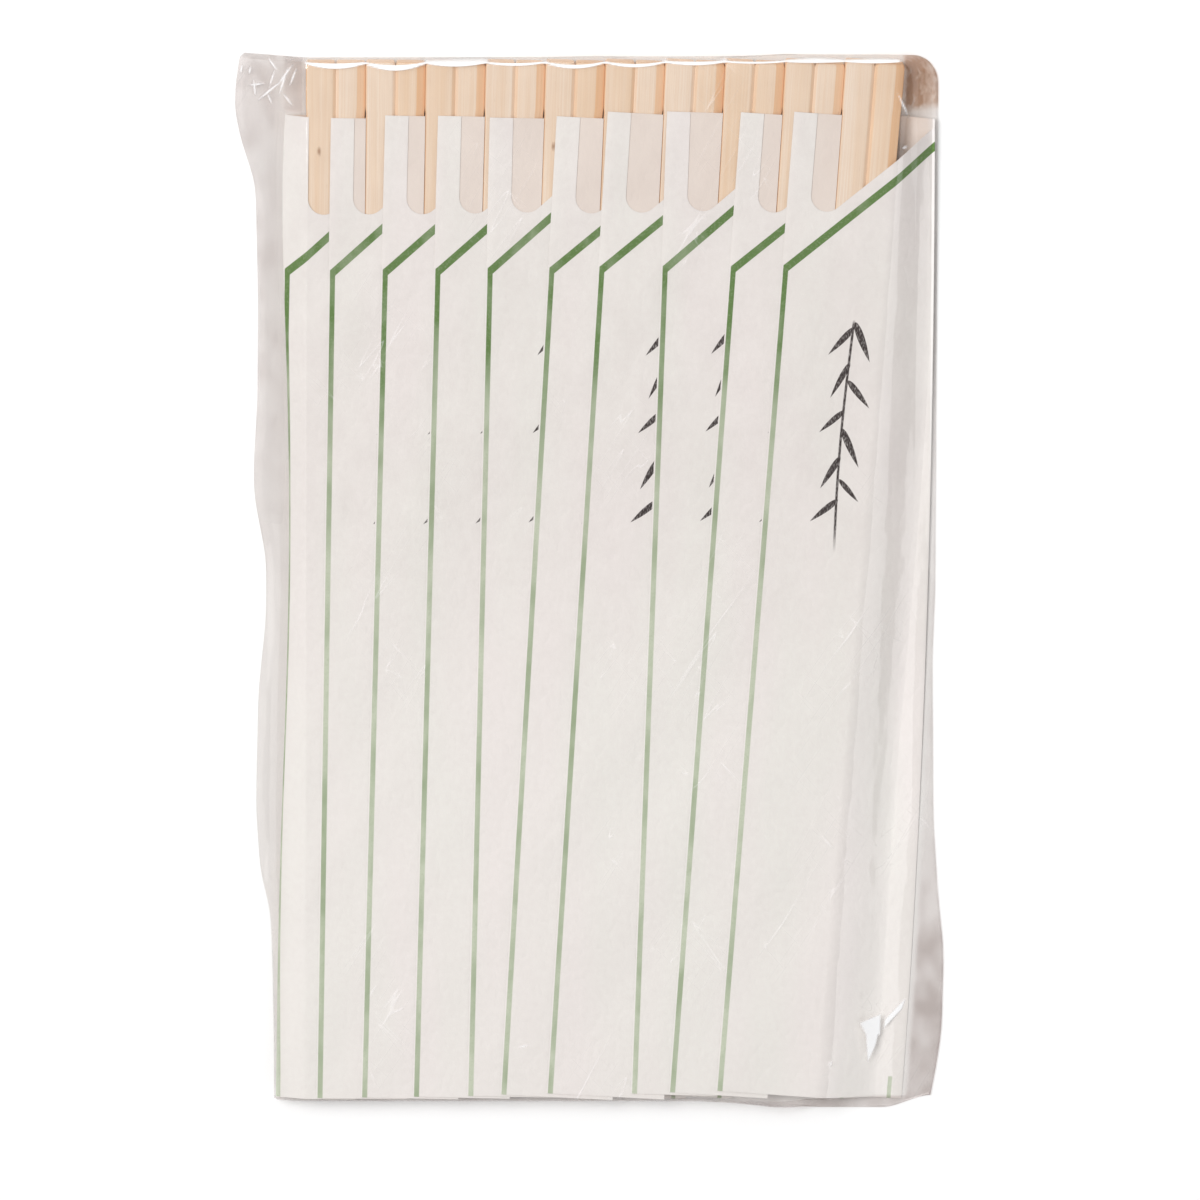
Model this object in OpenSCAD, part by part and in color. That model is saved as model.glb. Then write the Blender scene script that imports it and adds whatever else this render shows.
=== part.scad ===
// A pack of disposable chopsticks: unsplit wooden pairs in paper sleeves, shingled in one layer
// in a clear film bag. The pack lies on its back, heads towards +Y, and all sizes are in mm.

/* [Chopsticks] */
// Number of pairs in the pack
pairs = 10; // [2:1:10]
// Length of a pair
stick_l = 203; // [180:1:240]
// Width of a pair at the head
head_w = 11.2; // [9:0.05:14]
// Width of a pair at the tip
tip_w = 9.7; // [8:0.05:12]
// Thickness of a pair at the head
head_t = 5; // [4:0.1:6.5]
// Thickness of a pair at the tip
tip_t = 4.4; // [3.5:0.1:6]
// Bevel along the long edges
edge_bevel = 1.2; // [0.3:0.05:1.6]
// Width of the groove between the two sticks
groove_w = 1.3; // [0.8:0.1:2.4]
// Depth of the groove between the two sticks
groove_d = 0.6; // [0.4:0.05:1.4]
// Length at the head where the two sticks stay joined
joined_l = 42; // [20:1:80]
// Width of the saw cut that splits the pair from the tip
slit_w = 0.3; // [0.1:0.05:0.6]
// Length over which the head is eased
head_ease = 0.9; // [0.3:0.1:3]
// How far the eased head draws in on each side
head_inset = 0.35; // [0.1:0.05:0.8]
// Length over which the tip is eased
tip_ease = 1.5; // [0.5:0.1:4]
// How far the eased tip draws in on each side
tip_inset = 0.5; // [0.1:0.05:0.8]

/* [Paper sleeves] */
// Width of a sleeve from fold to fold
sleeve_w = 36.5; // [33:0.5:44]
// Length of a sleeve
sleeve_l = 195; // [175:1:232]
// Length of wood that stands out of the sleeve
head_out = 9.3; // [4:0.1:20]
// Thickness of the paper
paper_t = 0.09; // [0.05:0.01:0.16]
// Width of the strip beside the thumb notch
strip_w = 4; // [2:0.1:6]
// Width of the thumb notch
notch_w = 6.5; // [4:0.1:9]
// Depth of the thumb notch
notch_d = 20.3; // [12:0.1:30]
// Rise of the slanted mouth edge, in degrees
mouth_rise = 43; // [20:1:50]
// How far the bag presses in the last sleeve's free margin at the mouth
squeeze = 9.2; // [2:0.1:10]
// Height to which the bag turns up the last sleeve's margin, at the mouth
mouth_curl = 2.6; // [1:0.1:4]
// Height of the same margin at the foot
foot_curl = 0.5; // [0.2:0.1:2]
// Width of that margin at the mouth, beyond the slope from the last pair
mouth_margin = 1.8; // [0.5:0.1:4]
// Width of that margin at the foot
foot_margin = 5.4; // [2:0.1:9]

/* [Stack] */
// Lean of the first pair, in degrees
first_lean = 0.5; // [0:0.1:2]
// Clearance between layers of paper and wood
layer_clear = 0.03; // [0.02:0.01:0.08]
// Clearance beside a pair, on each side of a wall of paper
side_clear = 0.06; // [0.04:0.01:0.3]
// Height of the first sleeve's left fold over the underside of its pair
first_fold_h = 2.2; // [1:0.1:4]

/* [Film bag] */
// Thickness of the film
film_t = 0.08; // [0.04:0.01:0.15]
// Clearance between the film and what it holds
film_clear = 0.2; // [0.1:0.05:0.5]
// Height of the flattened film along the edges
film_edge_h = 0.7; // [0.5:0.1:1.5]
// Empty film past the heads
head_slack = 1.2; // [0.5:0.1:8]
// Empty film past the foot, on the left
foot_slack_left = 0.8; // [0.5:0.1:8]
// Empty film past the foot, on the right
foot_slack_right = 1.4; // [0.5:0.1:8]
// Empty film to the left, at the head corner
left_slack_head = 8.6; // [1:0.1:15]
// Empty film to the left, at the waist
left_slack_waist = 4.8; // [1:0.1:15]
// Empty film to the left, at the foot
left_slack_foot = 0.8; // [0.5:0.1:15]
// Empty film to the right, at the head corner
right_slack_head = 1.2; // [0.5:0.1:15]
// Empty film to the right, at the foot
right_slack_foot = 7.3; // [0.5:0.1:15]
// Distance of the waist below the heads
waist_y = 46; // [20:1:100]
// Width of the corner that is folded in, on the right of the head end
corner_fold = 4; // [0.5:0.1:8]

/* [Hidden] */
// Paper left of the pair at each sleeve's mouth, and each sleeve's turn against its pair in
// degrees: the sleeves are wider than the wood, so each one lies a little differently.
left_margins = [4.1, 6.8, 7.8, 9.1, 10.6, 9.1, 10.8, 10.9, 8.1, 9.3];
sleeve_turns = [0.3, 0.1, 0.2, -0.2, -0.8, 0.7, 0.5, -1.4, 0.2, 0.1];

last = pairs - 1;
half_taper = atan((head_w - tip_w) / 2 / stick_l);

// Tapered pairs that lie side by side fan out by their taper. Two walls of paper stand in the
// gap between neighbours.
side_gap = 2 * paper_t + 3 * side_clear;
pitch = head_w + side_gap;
fan = 2 * half_taper;

// Each sleeved pair is a shingle, rolled just enough for the margin of one sleeve to pass under
// the next pair, at the tip too, where neighbours are closest.
layer_step = 2 * paper_t + 3 * layer_clear;
roll = asin(layer_step / (tip_w + side_gap));

// Centre of a wall of paper, measured from the side of its pair
wall_off = side_clear + paper_t / 2;
// From one sheet's centre to the centre of the sheet that lies on it
sheet_step = paper_t + layer_clear;

two_digits = function (n) n < 10 ? str("0", n) : str(n);
sleeve_name = function (k) str("sleeve_", two_digits(k + 1));
pair_name = function (k) str("chopsticks_", two_digits(k + 1));

function mix(a, b, f) = a + (b - a) * f;

// Size of a pair at a distance from its head
function pair_w(d) = mix(head_w, tip_w, d / stick_l);
function pair_t(d) = mix(head_t, tip_t, d / stick_l);

// Lean of a pair from the pack's length, and the place of its head along the row
function lean(k) = first_lean + k * fan;
function head_x(k) = k == 0 ? 0 : head_x(k - 1) + pitch / cos(lean(k - 0.5));

function margin(k) = left_margins[k % len(left_margins)];
function turn(k) = sleeve_turns[k % len(sleeve_turns)];

// The sleeve's own coordinates are s across from its left fold and l down from its mouth. These
// give the pair's sides and the sleeve's right fold there.
function pair_left(k, l) = margin(k) + l * tan(turn(k) + half_taper);
function pair_right(k, l) = margin(k) + pair_w(head_out) + l * tan(turn(k) - half_taper);
function right_fold(k, l) = sleeve_w - (k == last ? squeeze * (1 - l / sleeve_l) : 0);

// A point of a sleeve in the frame of its pair, and a point of a pair's frame in the pack, seen
// from above
function in_pair(k, s, l) = [
    s * cos(turn(k)) - l * sin(turn(k)) - pair_w(head_out) / 2 - margin(k),
    -head_out - s * sin(turn(k)) - l * cos(turn(k))
];
function in_pack(k, p) = [
    head_x(k) + p.x * cos(lean(k)) + p.y * sin(lean(k)),
    p.y * cos(lean(k)) - p.x * sin(lean(k))
];

// The lowest point of the stack is the right fold that reaches furthest from its pair.
reach = max([for (k = [0 : last], l = [0, sleeve_l]) in_pair(k, right_fold(k, l), l).x]);
base_z = film_t + layer_clear + sheet_step + reach * sin(roll);

// A closed solid through rings of points that correspond. The caps are faces on the first ring,
// and the last ring has the same ones turned over.
function fan_cap(n) = [[for (i = [0 : n - 1]) i]];
function band_cap(n) = [for (i = [0 : n / 2 - 2]) [i, i + 1, n - 2 - i, n - 1 - i]];
function turned(face) = [for (i = [0 : len(face) - 1]) face[(len(face) - i) % len(face)]];

// Each side between two rings is split along one diagonal, and along the other one from point
// number cross_from on, so that the two faces of a twisted sheet run parallel.
function side_faces(a, b, n, cross) = cross
    ? [[a, a + n, b], [b, a + n, b + n]]
    : [[a, a + n, b + n], [a, b + n, b]];

module loft(rings, caps, cross_from = 1e3) {
    n = len(rings[0]);
    top = (len(rings) - 1) * n;
    polyhedron(
        points = [for (ring = rings) each ring],
        faces = concat(
            caps,
            [for (cap = caps) [for (i = turned(cap)) top + i]],
            [for (r = [0 : len(rings) - 2], i = [0 : n - 1])
                each side_faces(r * n + i, r * n + (i + 1) % n, n, i >= cross_from)]
        ),
        convexity = 6
    );
}

// The band of a thickness about an open path, as a closed outline
function unit(v) = v / norm(v);
function left_of(v) = [-v.y, v.x];
function side_step(path, i) =
    let (
        last_point = len(path) - 1,
        before = left_of(unit(path[max(i, 1)] - path[max(i, 1) - 1])),
        after = left_of(unit(path[min(i, last_point - 1) + 1] - path[min(i, last_point - 1)])),
        middle = unit(before + after)
    ) middle / (middle * before);
function band(path, thickness) = concat(
    [for (i = [0 : len(path) - 1]) path[i] - side_step(path, i) * thickness / 2],
    [for (i = [len(path) - 1 : -1 : 0]) path[i] + side_step(path, i) * thickness / 2]
);

// An outline moved in by a distance, for points that run anticlockwise
function inset(outline, d) = [for (i = [0 : len(outline) - 1])
    let (
        n = len(outline),
        path = [outline[(i + n - 1) % n], outline[i], outline[(i + 1) % n]]
    ) outline[i] + side_step(path, 1) * d];

// A section of the sleeve, across and up, at a distance below its mouth
function at_length(section, l) = [for (p = section) [p.x, -l, p.y]];

module in_place() {
    translate(-pack_centre) children();
}

// The frame of one pair: its head on the row, leaning with the fan and rolled as a shingle
module shingle(k) {
    translate([head_x(k), 0, base_z]) rotate([0, 0, -lean(k)]) rotate([0, roll, 0]) children();
}

// Half of the pair's section, from the groove below round to the groove on top
function half_section(w, t) = [
    [0, groove_d],
    [groove_w / 2, 0],
    [w / 2 - edge_bevel, 0],
    [w / 2, edge_bevel],
    [w / 2, t - edge_bevel],
    [w / 2 - edge_bevel, t],
    [groove_w / 2, t],
    [0, t - groove_d]
];
function mirrored(half) = [for (i = [len(half) - 2 : -1 : 1]) [-half[i].x, half[i].y]];
function pair_section(w, t) = let (half = half_section(w, t)) concat(half, mirrored(half));

// At an eased end, the section draws in on all sides.
function eased(section, w, t, inset) = [for (p = section)
    [p.x * (1 - 2 * inset / w), t / 2 + (p.y - t / 2) * (1 - 2 * inset / t)]];

module pair(k) {
    ease_at = stick_l - tip_ease;
    slit_l = stick_l - joined_l;
    rings = [
        at_length(eased(pair_section(head_w, head_t), head_w, head_t, head_inset), 0),
        at_length(pair_section(pair_w(head_ease), pair_t(head_ease)), head_ease),
        at_length(pair_section(pair_w(ease_at), pair_t(ease_at)), ease_at),
        at_length(eased(pair_section(tip_w, tip_t), tip_w, tip_t, tip_inset), stick_l)
    ];
    color("BurlyWood") in_place() shingle(k) difference() {
        loft(rings, fan_cap(len(rings[0])));
        translate([-slit_w / 2, -stick_l - 1, -1]) cube([slit_w, slit_l + 1, head_t + 2]);
    }
}

// How far a shingle lies above the one before it, square to the paper
function shingle_step(l) = (pair_w(head_out + l) + side_gap) * sin(roll);

// Heights of the sheets' centres over the underside of the pair: the back panel in the left
// margin, the front panel over the pair, and the front and back panels in the right margin. The
// left margin lies on the pair before; the first one has none, and its fold hangs lower.
function left_back_h(k, l) = k == 0
    ? first_fold_h
    : pair_t(head_out + l) - shingle_step(l) + layer_clear + sheet_step + paper_t / 2;
function top_h(l) = pair_t(head_out + l) + layer_clear + paper_t / 2;
right_back_h = -layer_clear - paper_t / 2;
right_front_h = right_back_h + sheet_step;

// Past the last pair the paper slopes down freely to its margin, and the bag turns its edge up.
function slope_end(k, l) = k == last
    ? right_fold(k, l) - mix(mouth_margin, foot_margin, l / sleeve_l)
    : pair_right(k, l) + wall_off;
function curl(l) = mix(mouth_curl, foot_curl, l / sleeve_l);

function front_path(k, l) = concat(
    [
        [0, left_back_h(k, l)],
        [0, left_back_h(k, l) + sheet_step],
        [pair_left(k, l), top_h(l)],
        [pair_right(k, l) + wall_off, top_h(l)],
        [slope_end(k, l), right_front_h]
    ],
    k == last
        ? [
            [right_fold(k, l) - sheet_step, right_front_h],
            [right_fold(k, l) - sheet_step, right_front_h + curl(l)],
            [right_fold(k, l), right_front_h + curl(l)]
        ]
        : [[right_fold(k, l), right_front_h], [right_fold(k, l), right_back_h]]
);
function back_path(k, l) = concat(
    [[0, left_back_h(k, l)]],
    k == 0 ? [] : [[pair_left(k, l) - wall_off, left_back_h(k, l)]],
    [[pair_left(k, l) - wall_off, right_back_h], [right_fold(k, l), right_back_h]],
    k == last ? [[right_fold(k, l), right_front_h + curl(l)]] : []
);

// The outline between the two panels, which share their end points at the folds
function foot_outline(k, l) =
    let (front = front_path(k, l)) concat(back_path(k, l), [for (i = [len(front) - 2 : -1 : 1]) front[i]]);

// The opening in the front panel: a thumb notch with a round bottom, and a slanted edge that
// leaves it on a tangent and rises to the right fold
module mouth_outline() {
    r = notch_w / 2;
    centre = [strip_w + r, notch_d - r];
    leave = centre + r * [sin(mouth_rise), cos(mouth_rise)];
    far = sleeve_w + 2;
    translate([centre.x, -centre.y]) circle(r = r, $fn = 64);
    polygon([for (p = [
        [strip_w, -far],
        [strip_w, centre.y],
        centre,
        leave,
        [far, leave.y - (far - leave.x) * tan(mouth_rise)],
        [far, -far]
    ]) [p.x, -p.y]]);
}

// A panel of the sleeve: the band of paper about a path across, carried from the mouth to the foot
module panel(mouth_path, foot_path) {
    rings = [
        at_length(band(mouth_path, paper_t), 0),
        at_length(band(foot_path, paper_t), sleeve_l)
    ];
    n = len(rings[0]);
    loft(rings, band_cap(n), cross_from = n / 2);
}

module sleeve(k) {
    far_end = sleeve_l - paper_t;
    lowest = right_back_h - 1;
    color("WhiteSmoke") in_place() shingle(k)
        translate([-pair_w(head_out) / 2 - margin(k), -head_out, 0]) rotate([0, 0, -turn(k)]) union() {
            panel(back_path(k, 0), back_path(k, sleeve_l));
            // The front panel with its mouth cut out
            difference() {
                panel(front_path(k, 0), front_path(k, sleeve_l));
                translate([0, 0, lowest]) linear_extrude(head_t + 4) mouth_outline();
            }
            // The folded foot that shuts the sleeve
            translate([0, -far_end, 0]) rotate([90, 0, 0]) linear_extrude(paper_t)
                polygon(foot_outline(k, sleeve_l));
        }
}

// The bag's lines along the pack, each given at the heads and at the foot: the first sleeve's
// left fold, the first pair's left side, the last pair's right side and the last sleeve's right fold
foot_d = head_out + sleeve_l;
fold_line = [in_pack(0, in_pair(0, 0, -head_out)), in_pack(0, in_pair(0, 0, sleeve_l))];
left_line = [in_pack(0, [-head_w / 2, 0]), in_pack(0, [-pair_w(foot_d) / 2, -foot_d])];
right_line = [in_pack(last, [head_w / 2, 0]), in_pack(last, [pair_w(foot_d) / 2, -foot_d])];
margin_line = [
    in_pack(last, in_pair(last, right_fold(last, -head_out), -head_out)),
    in_pack(last, in_pair(last, right_fold(last, sleeve_l), sleeve_l))
];

bag_head_y = head_w / 2 * sin(lean(last)) + film_clear;
bag_foot_left_y = fold_line[1].y - film_clear;
bag_foot_right_y = margin_line[1].y - film_clear;
bag_left = [
    fold_line[0].x - left_slack_head,
    mix(fold_line[0].x, fold_line[1].x, waist_y / foot_d) - left_slack_waist,
    fold_line[1].x - film_clear - left_slack_foot
];
bag_right = [
    max(margin_line[0].x, right_line[0].x) + film_clear + right_slack_head,
    margin_line[1].x + film_clear + right_slack_foot
];

// Heights of the bag over the stack: the first fold, the pairs at the head and foot, the margin
layers_over = 3 * sheet_step + film_clear;
function stack_top(d) = base_z + pair_w(d) / 2 * sin(roll) + pair_t(d) + layers_over;
first_fold_top = base_z + (head_w / 2 + margin(0)) * sin(roll) + first_fold_h + layers_over;
function margin_top(f) = base_z + curl(f * sleeve_l) + film_clear;

// One ring of the bag. f runs from 0 at the heads to 1 at the foot, and a flat ring is an end
// where the film closes down to its edge.
function bag_ring(left_x, right_x, f, y_left, y_right, flat) =
    let (
        up = function (h) flat ? film_edge_h : h,
        margin_x = mix(margin_line[0].x, margin_line[1].x, f) + film_clear,
        outline = [
            [left_x, 0],
            [right_x, 0],
            [right_x, film_edge_h],
            [min(margin_x, right_x - film_clear), up(margin_top(f))],
            [mix(right_line[0].x, right_line[1].x, f) + film_clear, up(stack_top(f * foot_d))],
            [mix(left_line[0].x, left_line[1].x, f) - film_clear, up(stack_top(f * foot_d))],
            [mix(fold_line[0].x, fold_line[1].x, f) - film_clear, up(first_fold_top)],
            [left_x, film_edge_h]
        ]
    ) [outline, y_left, y_right];

// The ring's points in the pack, moved in by d all round
function ring_points(ring, d) =
    let (
        outline = d == 0 ? ring[0] : inset(ring[0], d),
        across = bag_right[1] - bag_left[2]
    ) [for (p = outline) [p.x, mix(ring[1], ring[2], (p.x - bag_left[2]) / across), p.y]];

waist_f = waist_y / foot_d;
bag_end_y = bag_head_y + head_slack;
bag_foot_y = [bag_foot_left_y - foot_slack_left, bag_foot_right_y - foot_slack_right];
bag_rings = [
    bag_ring(bag_left[0], bag_right[0] - corner_fold, 0, bag_end_y, bag_end_y, true),
    bag_ring(bag_left[0], bag_right[0], 0, bag_head_y, bag_head_y, false),
    bag_ring(bag_left[1], mix(bag_right[0], bag_right[1], waist_f), waist_f, -waist_y, -waist_y, false),
    bag_ring(bag_left[2], bag_right[1], 1, bag_foot_left_y, bag_foot_right_y, false),
    bag_ring(bag_left[2], bag_right[1], 1, bag_foot_y[0], bag_foot_y[1], true)
];

pack_centre = [(min(bag_left) + max(bag_right)) / 2, (bag_end_y + min(bag_foot_y)) / 2, 0];

module bag() {
    outer = [for (ring = bag_rings) ring_points(ring, 0)];
    inner_ends = [-film_t, 0, 0, 0, film_t];
    inner = [for (i = [0 : len(bag_rings) - 1])
        [for (p = ring_points(bag_rings[i], film_t)) p + [0, inner_ends[i], 0]]];
    caps = fan_cap(len(outer[0]));
    color("GhostWhite", 0.4) in_place() difference() {
        loft(outer, caps);
        loft(inner, caps);
    }
}

bag();
for (k = [0 : last]) sleeve(k);
for (k = [0 : last]) pair(k);
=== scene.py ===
import bpy
import numpy as np
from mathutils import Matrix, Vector


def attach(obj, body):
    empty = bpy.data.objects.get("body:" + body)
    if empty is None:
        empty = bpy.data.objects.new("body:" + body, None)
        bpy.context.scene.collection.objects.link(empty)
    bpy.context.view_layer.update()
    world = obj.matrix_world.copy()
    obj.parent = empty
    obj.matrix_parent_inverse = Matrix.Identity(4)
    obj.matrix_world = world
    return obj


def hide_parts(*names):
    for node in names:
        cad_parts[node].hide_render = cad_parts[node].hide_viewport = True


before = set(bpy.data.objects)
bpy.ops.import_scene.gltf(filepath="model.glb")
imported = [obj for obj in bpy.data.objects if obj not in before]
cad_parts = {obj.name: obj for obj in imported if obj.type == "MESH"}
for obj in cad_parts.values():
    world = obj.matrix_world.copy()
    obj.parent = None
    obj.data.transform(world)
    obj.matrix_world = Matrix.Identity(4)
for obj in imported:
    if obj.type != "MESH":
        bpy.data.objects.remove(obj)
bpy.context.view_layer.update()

# The chopsticks: ten unsplit pairs, sawn and planed from pale softwood, with bevelled long edges
# and a groove where the pair will break apart. They taper to the tip, so that a row of them laid
# side by side fans out, and each one lies on its neighbour's paper like a shingle. Sizes are in mm.
PAIRS = np.arange(10)
STICK_L, HEAD_OUT = 203.0, 9.3
HEAD_W, TIP_W, HEAD_T, TIP_T = 11.2, 9.7, 5.0, 4.4
LEFT_BEVEL, RIGHT_BEVEL, RIGHT_BEVEL_DROP, GROOVE_W, GROOVE_D = 0.25, 1.75, 0.55, 1.3, 0.4
JOINED_L, SLIT_W, ARRIS, GROOVE_ARRIS = 42.0, 0.3, 0.15, 0.03
HEAD_EASE, HEAD_INSET, TIP_EASE, TIP_INSET = 0.9, 0.35, 1.5, 0.5
HEAD_PRESS, PRESS_LOSS, PRESS_L, PRESS_EASE = 0.17, 0.65, 8.6, 1.7
PAPER_T, LAYER_CLEAR, SIDE_CLEAR = 0.09, 0.03, 0.06
FIRST_LEAN, BASE_Z = 0.5, 0.950
ROW_CENTRE = np.array([49.6542, -102.582, 0.0])

HALF_TAPER = np.arctan((HEAD_W - TIP_W) / 2 / STICK_L)
SIDE_GAP = 2 * PAPER_T + 3 * SIDE_CLEAR
LEAN = np.radians(FIRST_LEAN) + 2 * HALF_TAPER * PAIRS
PITCH = (HEAD_W + SIDE_GAP) / np.cos((LEAN[1:] + LEAN[:-1]) / 2)
HEAD_X = np.concatenate([[0.0], np.cumsum(PITCH)])
ROLL = np.arcsin((2 * PAPER_T + 3 * LAYER_CLEAR) / (TIP_W + SIDE_GAP))


def eased(f):
    """0 to 1 with a level start and end."""
    f = np.clip(f, 0, 1)
    return f * f * (3 - 2 * f)


def pair_width(d):
    """Width of a pair at a distance d from its head, straight from head to tip."""
    return HEAD_W + (TIP_W - HEAD_W) * d / STICK_L


def pair_thickness(d):
    """Thickness of a pair at a distance d from its head, straight from head to tip."""
    return HEAD_T + (TIP_T - HEAD_T) * d / STICK_L


def in_pack(k, x, y, z):
    """Points of pair k's own frame in the pack: rolled about the pair's length, leant in the plane
    of the row, and moved to the pair's head."""
    across, up = x * np.cos(ROLL) + z * np.sin(ROLL), z * np.cos(ROLL) - x * np.sin(ROLL)
    east = HEAD_X[k] + across * np.cos(LEAN[k]) + y * np.sin(LEAN[k])
    north = y * np.cos(LEAN[k]) - across * np.sin(LEAN[k])
    return np.stack([east, north, BASE_Z + up], axis=-1) - ROW_CENTRE


def grid_faces(rows, columns, start=0):
    """The four corners of each cell of a grid of points that is stored row by row."""
    i, j = np.meshgrid(np.arange(rows - 1), np.arange(columns - 1), indexing="ij")
    first = start + (i * columns + j).reshape(-1, 1)
    return first + np.array([0, 1, columns + 1, columns])


def make_piece(name, points, faces, sheet_mm=None, sharp=35.0, **marks):
    """A mesh object from points in mm, with an optional map of flat places in mm, and optional
    numbers for each point that materials read by name. Edges that turn past sharp degrees and the
    free edges of sheets, which meet at folds, stay crisp."""
    mesh = bpy.data.meshes.new(name)
    mesh.from_pydata((points / 1000.0).tolist(), [], [list(map(int, face)) for face in faces])
    if sheet_mm is not None:
        corner_points = np.empty(len(mesh.loops), dtype=np.int32)
        mesh.loops.foreach_get("vertex_index", corner_points)
        layer = mesh.uv_layers.new(name="flat_mm")
        layer.data.foreach_set("uv", sheet_mm[corner_points].astype(np.float32).ravel())
    for mark, values in marks.items():
        layer = mesh.attributes.new(mark, "FLOAT", "POINT")
        layer.data.foreach_set("value", np.asarray(values, dtype=np.float32))
    mesh.polygons.foreach_set("use_smooth", np.full(len(mesh.polygons), True))
    mesh.set_sharp_from_angle(angle=np.radians(sharp))
    crisp, corner_edges = np.empty(len(mesh.edges), dtype=bool), np.empty(len(mesh.loops), dtype=np.int32)
    mesh.edges.foreach_get("use_edge_sharp", crisp)
    mesh.loops.foreach_get("edge_index", corner_edges)
    free = np.bincount(corner_edges, minlength=len(mesh.edges)) == 1
    mesh.edges.foreach_set("use_edge_sharp", crisp | free)
    mesh.update()
    piece = bpy.data.objects.new(name, mesh)
    bpy.context.scene.collection.objects.link(piece)
    return piece


def stick_corners(l, side):
    """Corners of one stick's section at each length l: from the groove below, round the outer
    bevels to the groove on top. Beyond the joined length a saw cut parts it from its twin. The
    section draws in a little at both ends, where the arrises are eased. Above the paper the heads
    touch each other, so the section is a little wider there."""
    pressed = HEAD_PRESS * (1 - PRESS_LOSS * eased((l - PRESS_L) / PRESS_EASE))
    w, t = pair_width(l) / 2 + pressed, pair_thickness(l)
    bevel, fall = (RIGHT_BEVEL, RIGHT_BEVEL_DROP) if side > 0 else (LEFT_BEVEL, LEFT_BEVEL)
    cut = np.where(l > JOINED_L, SLIT_W / 2, 0.0)
    zero = np.zeros_like(l)
    groove = zero + GROOVE_W / 2
    x = np.stack([cut, groove, w - bevel, w, w, w - bevel, groove, cut], axis=1)
    z = np.stack([zero + GROOVE_D, zero, zero, zero + fall, t - fall, t, t, t - GROOVE_D], axis=1)
    ease = HEAD_INSET * np.clip(1 - l / HEAD_EASE, 0, 1) ** 2
    ease += TIP_INSET * np.clip((l - STICK_L + TIP_EASE) / TIP_EASE, 0, 1)
    middle_x, middle_z = (w / 2)[:, None], (t / 2)[:, None]
    x = middle_x + (x - middle_x) * (1 - 2 * ease / w)[:, None]
    z = middle_z + (z - middle_z) * (1 - 2 * ease / t)[:, None]
    return np.stack([side * x, z], axis=2)


def rounded(corners, cut, steps=4):
    """Each corner of a closed outline drawn as a small curve, which starts and ends a cut's length
    from it on the two sides."""
    to_last = np.roll(corners, 1, axis=1) - corners
    to_next = np.roll(corners, -1, axis=1) - corners
    last_side = corners + cut[:, None] * to_last / np.linalg.norm(to_last, axis=2, keepdims=True)
    next_side = corners + cut[:, None] * to_next / np.linalg.norm(to_next, axis=2, keepdims=True)
    f = np.linspace(0, 1, steps)[None, None, :, None]
    last_side, middle, next_side = last_side[:, :, None], corners[:, :, None], next_side[:, :, None]
    curve = (1 - f) ** 2 * last_side + 2 * f * (1 - f) * middle + f ** 2 * next_side
    return curve.reshape(len(corners), -1, 2)


def make_pair(k):
    """Both sticks of pair k: the rounded section carried from the head to the tip, shut at the ends."""
    l = np.concatenate([
        [0, 0.12, 0.3, 0.55, HEAD_EASE, 4, PRESS_L, 9, 9.4, 9.8, PRESS_L + PRESS_EASE, 14, 25],
        [JOINED_L - 0.1, JOINED_L + 0.1, 70, 110, 150, 190, STICK_L - TIP_EASE, 202.3, STICK_L]])
    arris = np.array([GROOVE_ARRIS, *[ARRIS] * 6, GROOVE_ARRIS])
    points, faces, flat, tones, warm = [], [], [], [], []
    for side in (-1, 1):
        section = rounded(stick_corners(l, side), arris)
        rows, columns = section.shape[:2]
        start = sum(map(len, points))
        y = np.repeat(-l[:, None], columns, axis=1)
        points.append(in_pack(k, section[:, :, 0], y, section[:, :, 1]).reshape(-1, 3))
        cells = grid_faces(rows, columns, start)
        seam = start + np.arange(rows - 1) * columns
        wrap = np.stack([seam + columns - 1, seam, seam + columns, seam + 2 * columns - 1], axis=1)
        around = np.concatenate([cells, wrap])
        ring = start + np.arange(columns)
        head, tip = ring[::-1], ring + (rows - 1) * columns
        if side < 0:
            around, head, tip = around[:, ::-1], head[::-1], tip[::-1]
        faces += [*around[:, ::-1], head[::-1], tip[::-1]]
        girth = np.cumsum(np.linalg.norm(np.diff(section[8], axis=0, prepend=section[8][:1]), axis=1))
        flat.append(np.stack([np.tile(side * girth + 40 * k, rows), -y.ravel()], axis=1))
        tone = (0.5 + 0.5 * np.sin(2.4 * k + 1.1 * side + 0.6)) * 0.8 + 0.1
        tones.append(np.full(rows * columns, tone))
        # Painted shade: the outer sides and bevels and the top groove are tinted warmer and darker, as
        # where shade falls on them; the end grain of the head, which is darker wood, takes the same tint.
        painted_shade_and_end_grain = np.zeros((rows, columns))
        outer_bevels, top_groove, end_grain = np.s_[:, 12:21], np.s_[:, 27:], 0
        painted_shade_and_end_grain[outer_bevels], painted_shade_and_end_grain[top_groove], painted_shade_and_end_grain[end_grain] = 1.0, 0.4, 1.0
        warm.append(painted_shade_and_end_grain.ravel())
    name = f"wood_pair_{k + 1:02d}"
    return make_piece(name, np.concatenate(points), faces, np.concatenate(flat),
                      tone=np.concatenate(tones), warm=np.concatenate(warm))


def srgb(red, green, blue):
    """A colour as it is seen on a screen, 0 to 255, as the linear colour of a shader."""
    seen = np.array([red, green, blue]) / 255.0
    linear = np.where(seen <= 0.04045, seen / 12.92, ((seen + 0.055) / 1.055) ** 2.4)
    return (*map(float, linear), 1.0)


def new_material(name):
    """A material, its node tree and its Principled shader."""
    material = bpy.data.materials.new(name)
    material.use_nodes = True
    return material, material.node_tree, material.node_tree.nodes["Principled BSDF"]


def node(tree, kind, inputs=None, **settings):
    """A node with its settings, each input linked to a socket or set to a value."""
    made = tree.nodes.new(kind)
    for key, value in settings.items():
        setattr(made, key, value)
    for key, value in (inputs or {}).items():
        if isinstance(value, bpy.types.NodeSocket):
            tree.links.new(value, made.inputs[key])
        else:
            made.inputs[key].default_value = value
    return made


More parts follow.
